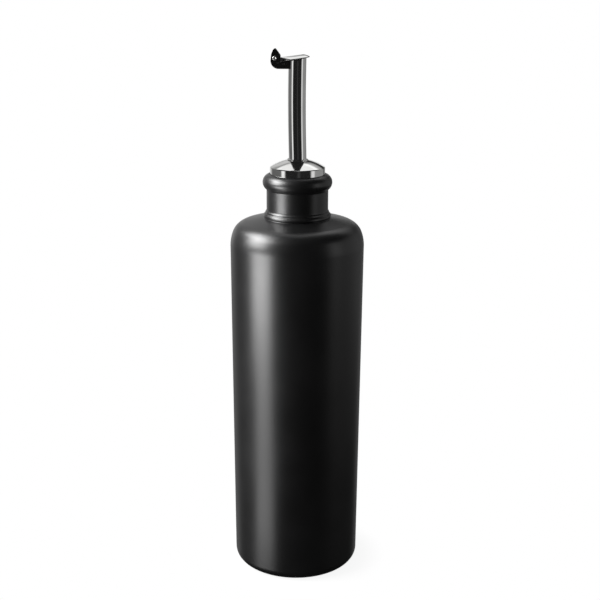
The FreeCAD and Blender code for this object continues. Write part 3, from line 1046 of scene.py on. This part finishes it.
@dataclass
class Flap:
    """The flap: a polished oval plate whose strap curls round the pin.

    Along runs from the pin over the mouth, parallel to the plate; up is square to the plate. The strap's
    bend is given by its height over the strap's underside, and its fall by its height over the crown.
    """

    pin: Vector
    tilt: float = 7.5
    start: float = 3.15
    length: float = 14.3
    half_width: float = 5.2
    end_radius: float = 4.0
    root: float = 1.0
    root_inset: float = 0.45
    low: float = -1.871
    thick: float = 1.75
    rim: float = 0.34
    rim_angles: tuple[float, ...] = (-90.0, -60.0, -30.0, 0.0, 30.0, 60.0)
    under_inset: float = 2.6
    crown_run: float = 4.6
    crown_insets: tuple[float, ...] = (0.12, 0.3, 0.55, 0.85, 1.25, 1.7, 2.2, 2.8, 3.4, 4.0, 4.6)
    spine_gap: float = 0.4
    strap_half: float = 2.1
    strap_inset: float = 0.02
    strap_drop: float = 0.03
    strap_end: float = 5.4
    bend: tuple[Flat, ...] = ((0.9, 0.0), (0.35, 0.03), (-0.2, 0.2), (-0.62, 0.55))
    bore: float = 0.67
    bore_sweep: Flat = (243.0, 597.0)
    curl: float = 1.25
    curl_sweep: Flat = (226.0, 24.0)
    fall: tuple[Flat, ...] = ((1.7, 0.4), (2.4, 0.26), (3.0, 0.1), (3.6, -0.12), (4.3, -0.46), (5.0, -0.88),
                              (5.4, -1.15))
    sliver: float = 0.015

    def place(self, along: float, aside: float, up: float) -> Vector:
        """Turn plate lengths into a place.

        Args:
            along: the distance from the pin along the plate.
            aside: the distance from the middle plane.
            up: the height over the pin, square to the plate.

        Returns:
            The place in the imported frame, in millimetres.
        """
        tilt = math.radians(self.tilt)
        return self.pin + Vector((along * math.cos(tilt) - up * math.sin(tilt), aside,
                                  along * math.sin(tilt) + up * math.cos(tilt)))

    def oval(self) -> list[Flat]:
        """Draw half the plate, seen from above.

        Returns:
            The outline from the strap round the far end to the middle line.
        """
        centre, reach = self.start + self.length / 2, self.length / 2 - self.end_radius
        spare = self.half_width - self.end_radius
        drop = (reach**2 - spare**2) / (2 * spare)
        side = self.half_width + drop
        lean = math.degrees(math.atan2(reach, drop))
        root = self.strap_half - self.root_inset
        near = math.degrees(math.asin(root / self.end_radius))
        half = [(self.root, root),
                *arc((centre - reach, 0.0), self.end_radius, 180.0 - near, 90.0 + lean, steps=10),
                *arc((centre, -drop), side, 90.0 + lean, 90.0 - lean, steps=30),
                *arc((centre + reach, 0.0), self.end_radius, 90.0 - lean, 0.0, steps=16)]
        return soften(half, step=0.25, passes=6)

    def plate(self) -> bmesh.types.BMesh:
        """Model the plate: flat below, with a thin rounded rim and a face that rises to a low crown.

        Returns:
            Its mesh, in millimetres.
        """
        half = self.oval()
        outline = [*half, *[(along, -aside) for along, aside in reversed(half[:-1])]]
        spine = (self.root, self.start + self.length - self.end_radius - self.spine_gap)
        radius, rise = self.rim / 2, self.thick - self.rim
        rim = [(radius * (1 - math.cos(turn)), radius * (1 + math.sin(turn)))
               for turn in map(math.radians, self.rim_angles)]
        crown = [(inset, self.rim + rise * (1 - (1 - min(inset / self.crown_run, 1.0)) ** 2))
                 for inset in self.crown_insets]
        rows: list[Row] = []
        bm = bmesh.new()
        for inset, up in [(self.half_width, 0.0), (self.under_inset, 0.0), *rim, *crown,
                          (self.half_width, self.thick)]:
            share = inset / self.half_width
            row = []
            for along, aside in outline:
                keep = min(max(along, spine[0]), spine[1])
                spot = Vector((along, aside)).lerp(Vector((keep, 0.0)), share)
                row.append(bm.verts.new(self.place(spot.x, spot.y, self.low + up)))
            rows.append(row)
        loft(bm, rows)
        bmesh.ops.remove_doubles(bm, verts=bm.verts, dist=SAME_SPOT)
        return bm

    def strap(self) -> list[Flat]:
        """Draw the strap from the side.

        Returns:
            The outline that leaves the plate, goes under the pin, round the bore and back over the curl.
        """
        top, low = self.low + self.thick, self.low - self.strap_drop
        return [(self.strap_end, low), *[(along, low + up) for along, up in self.bend],
                *arc((0.0, 0.0), self.bore, *self.bore_sweep, steps=60),
                *arc((0.0, 0.0), self.curl, *self.curl_sweep, steps=36),
                *[(along, top + up) for along, up in self.fall]]

    def build(self) -> list[bpy.types.Object]:
        """Build and dress the flap.

        Returns:
            Its one piece.
        """
        plate = new_piece("flap_plate", self.plate(), sharp=40.0)
        bm = bmesh.new()
        edge = self.strap_half - self.strap_inset
        sides = [[bm.verts.new(self.place(along, aside, up)) for along, up in self.strap()]
                 for aside in (-edge, edge)]
        bridge(bm, *sides)
        for side in sides:
            fill(bm, [side])
        strap = new_piece("flap_strap", bm, sharp=40.0)
        join = plate.modifiers.new("strap", "BOOLEAN")
        join.operation, join.object, join.solver = "UNION", strap, "EXACT"
        graph = bpy.context.evaluated_depsgraph_get()
        bm = bmesh.new()
        bm.from_mesh(bpy.data.meshes.new_from_object(plate.evaluated_get(graph)))
        bmesh.ops.transform(bm, matrix=Matrix.Scale(1 / MM, 4), verts=bm.verts)
        bmesh.ops.remove_doubles(bm, verts=bm.verts, dist=self.sliver)
        piece = new_piece("flap_polished", bm, sharp=32.0)
        for part in (plate, strap):
            bpy.data.objects.remove(part)
        even_shading(piece)
        return [dress(piece, POLISHED_STEEL.material(), "polished_steel", "flap", "flap")]


# ---------------------------------------------------------------------------------------------------------
# Studio
# ---------------------------------------------------------------------------------------------------------


@dataclass(frozen=True)
class SoftBox:
    """One soft lamp beside the bottle.

    Its azimuth counts from the front toward the right, and glow is how bright its face is.
    """

    name: str
    azimuth: float
    distance: float
    height: float
    width: float
    tall: float
    glow: float

    def hang(self, aim: Vector) -> bpy.types.Object:
        """Hang the lamp and turn it to the bottle.

        Args:
            aim: the point that it faces.

        Returns:
            The lamp.
        """
        data = bpy.data.lights.new(self.name, "AREA")
        data.shape, data.size, data.size_y = "RECTANGLE", self.width, self.tall
        data.energy = self.glow * math.pi * self.width * self.tall
        lamp = bpy.data.objects.new(self.name, data)
        turn = math.radians(self.azimuth)
        lamp.location = (self.distance * math.sin(turn), -self.distance * math.cos(turn), self.height)
        lamp.rotation_euler = (lamp.location - aim).to_track_quat("Z", "Y").to_euler()
        lamp.visible_camera = False
        bpy.context.scene.collection.objects.link(lamp)
        return lamp


@dataclass(frozen=True)
class Glow:
    """One soft patch of the surroundings that gloss alone sees.

    It lies at an azimuth, as for a lamp, and a rise over the level; reach and tall are what it spans to
    either side of them, and soft is how far its edges fade.
    """

    azimuth: float
    reach: float
    rise: float
    tall: float
    level: float
    soft: float = 5.0

    def shine(self, recipe: Recipe, around: Value, above: Value) -> Value:
        """Work out the patch's light.

        Args:
            recipe: the world's tree.
            around: azimuth of the direction looked in.
            above: rise of that direction over the level.

        Returns:
            The light that the patch gives in that direction.
        """
        off = recipe.add("ShaderNodeMath", {"operation": "WRAP"},
                         {0: around - self.azimuth, 1: 180.0, 2: -180.0})
        wide = recipe.span(abs(off), self.reach - self.soft, self.reach + self.soft, self.level, 0.0)
        high = recipe.span(abs(above - self.rise), self.tall - self.soft, self.tall + self.soft, 1.0, 0.0)
        return wide * high


@dataclass
class Studio:
    """The plain pale studio: floor, surroundings, lamps and camera.

    The camera's lens and sensor are in millimetres, as Blender counts them.
    """

    lamps: tuple[SoftBox, ...] = (
        SoftBox("key_top", -77.0, distance=0.80, height=0.60, width=0.50, tall=0.58, glow=14.5),
        SoftBox("key_high", -62.0, distance=0.36, height=0.097, width=0.21, tall=0.105, glow=10.6),
        SoftBox("key_low", -58.0, distance=0.36, height=-0.07, width=0.20, tall=0.23, glow=2.2),
        SoftBox("key_crown", -100.0, distance=0.46, height=0.64, width=0.36, tall=0.30, glow=11.5),
    )
    glows: tuple[Glow, ...] = (
        # All round, low: the bands of the spout and of the cap's drum.
        Glow(-157.0, reach=14.0, rise=-2.0, tall=10.0, level=0.5),
        Glow(-150.0, reach=16.0, rise=-12.0, tall=26.0, level=0.28),
        Glow(-100.0, reach=38.0, rise=-12.0, tall=24.0, level=0.07),
        Glow(-104.0, reach=36.0, rise=2.0, tall=12.0, level=0.09),
        Glow(-62.0, reach=8.0, rise=4.0, tall=22.0, level=0.95),
        Glow(6.0, reach=5.0, rise=-6.0, tall=10.0, level=0.03),
        Glow(68.0, reach=9.0, rise=6.0, tall=20.0, level=0.75),
        Glow(108.0, reach=30.0, rise=4.0, tall=22.0, level=0.26),
        Glow(158.0, reach=14.0, rise=-12.0, tall=24.0, level=0.22),
        Glow(180.0, reach=8.0, rise=-6.0, tall=8.0, level=0.35),
        Glow(180.0, reach=12.0, rise=4.0, tall=5.0, level=0.8, soft=3.0),
        # Behind, high: the dome's two slopes and its crown.
        Glow(-142.0, reach=14.0, rise=30.0, tall=14.0, level=0.30),
        Glow(-167.0, reach=10.0, rise=24.0, tall=12.0, level=0.60),
        Glow(148.0, reach=22.0, rise=36.0, tall=10.0, level=0.42),
        Glow(180.0, reach=42.0, rise=66.0, tall=26.0, level=0.95),
    )
    plain_level: float = 0.45
    dark_level: float = 0.014
    floor_radii: tuple[float, ...] = (0.0, 0.5, 2.0, 6.0)
    floor_rounds: int = 96
    floor_colour: Colour = (0.92, 0.92, 0.92, 1.0)
    shade_start: float = 0.034
    shade_end: float = 0.052
    shade_share: float = 0.10
    lens: float = 69.0
    sensor: float = 36.0
    clip: Flat = (0.01, 50.0)
    pitch: float = 16.0
    roll: float = 0.283
    camera_at: Vector = field(default_factory=lambda: Vector((0.00161, -0.5885, 0.31727)))

    def floor(self) -> bpy.types.Object:
        """Lay the floor, white to the camera but for the bottle's shade.

        Returns:
            The floor.
        """
        bm = bmesh.new()
        turns = [2 * math.pi * index / self.floor_rounds for index in range(self.floor_rounds)]
        loft(bm, [[bm.verts.new((radius / MM * math.cos(turn), radius / MM * math.sin(turn), 0.0))
                   for turn in (turns if radius else turns[:1])] for radius in self.floor_radii])
        floor = new_piece("studio_floor", bm)
        recipe = Recipe(bpy.data.materials.new("pale_floor"))
        away = recipe.add("ShaderNodeVectorMath", {"operation": "LENGTH"}, {0: recipe.place()}, "Value")
        share = recipe.span(away, self.shade_start, self.shade_end, self.shade_share, 0.0)
        pale = recipe.add("ShaderNodeBsdfDiffuse", {}, {"Color": self.floor_colour})
        white = recipe.add("ShaderNodeEmission", {}, {"Color": WHITE, "Strength": 1.0})
        both = recipe.add("ShaderNodeMixShader", {}, {0: share, 1: white, 2: pale})
        recipe.add("ShaderNodeOutputMaterial", {}, {"Surface": both})
        floor.data.materials.append(recipe.owner)
        floor.visible_diffuse = floor.visible_glossy = floor.visible_shadow = False
        return floor

    def surroundings(self) -> None:
        """White to the camera, an even grey to matt surfaces, and a studio round the bottle to gloss."""
        world = bpy.data.worlds.new("studio")
        bpy.context.scene.world = world
        recipe = Recipe(world)
        ray = recipe.add("ShaderNodeLightPath", output="Is Camera Ray")
        through = recipe.add("ShaderNodeLightPath", output="Is Transmission Ray")
        gloss = recipe.add("ShaderNodeLightPath", output="Is Glossy Ray")
        heading = recipe.add("ShaderNodeTexCoord", output="Generated")
        right, behind, above = (recipe.add("ShaderNodeSeparateXYZ", {}, {0: heading}, axis) for axis in "XYZ")
        turn = recipe.add("ShaderNodeMath", {"operation": "ARCTAN2"}, {0: right, 1: behind * -1.0})
        rise = recipe.add("ShaderNodeMath", {"operation": "ARCSINE"}, {0: above})
        turn_degrees, rise_degrees = turn * math.degrees(1.0), rise * math.degrees(1.0)
        seen: Value | float = self.dark_level
        for glow in self.glows:
            seen = seen + glow.shine(recipe, turn_degrees, rise_degrees)
        plain = seen * gloss + (1.0 - gloss) * self.plain_level
        shown = ray + through
        strength = plain * (1.0 - shown) + shown
        back = recipe.add("ShaderNodeBackground", {}, {"Color": WHITE, "Strength": strength})
        recipe.add("ShaderNodeOutputWorld", {}, {"Surface": back})

    def camera(self) -> None:
        """Set up the camera in front of the bottle, looking a little down."""
        data = bpy.data.cameras.new("studio_camera")
        data.lens, data.sensor_width = self.lens, self.sensor
        data.clip_start, data.clip_end = self.clip
        camera = bpy.data.objects.new("studio_camera", data)
        turn = Matrix.Rotation(math.radians(90.0 - self.pitch), 4, "X") @ Matrix.Rotation(
            math.radians(self.roll), 4, "Z")
        camera.matrix_world = Matrix.Translation(self.camera_at) @ turn
        bpy.context.scene.collection.objects.link(camera)
        bpy.context.scene.camera = camera

    def build(self, lamplit: Sequence[bpy.types.Object]) -> None:
        """Build the studio round the bottle.

        Args:
            lamplit: the pieces that the lamps light; the mirror steel shows the surroundings alone.
        """
        low, high = CAD_BOX
        self.surroundings()
        lit = bpy.data.collections.new("lit_by_lamps")
        for piece in (self.floor(), *lamplit):
            lit.objects.link(piece)
        for lamp in self.lamps:
            lamp.hang(aim=(low + high) / 2).light_linking.receiver_collection = lit
        self.camera()
        bpy.context.scene.view_settings.view_transform = "Standard"


def main() -> None:
    """Build every sub-assembly in order and report its pieces."""
    logging.basicConfig(level=logging.INFO, format="%(name)s: %(message)s")
    joint = frame["joints"][0]
    pin = Vector(joint["pos_m"]) / MM
    tube = SpoutTube(foot=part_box("spout_tube")[0].z / MM)
    cap = PourerCap(foot=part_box("pourer_cap")[0].z / MM)
    makers = (CeramicBottle(), cap, tube, FlapBracket(pin=pin, mouth=tube.mouth), HingePin(pin=pin),
              Flap(pin=pin))
    built = {type(maker).__name__: maker.build() for maker in makers}
    for name, pieces in built.items():
        for piece in pieces:
            LOG.info("%s: %s, %d faces", name, piece.name, len(piece.data.polygons))
    Studio().build([*built["CeramicBottle"], *built["HingePin"]])


if __name__ == "__main__":
    main()
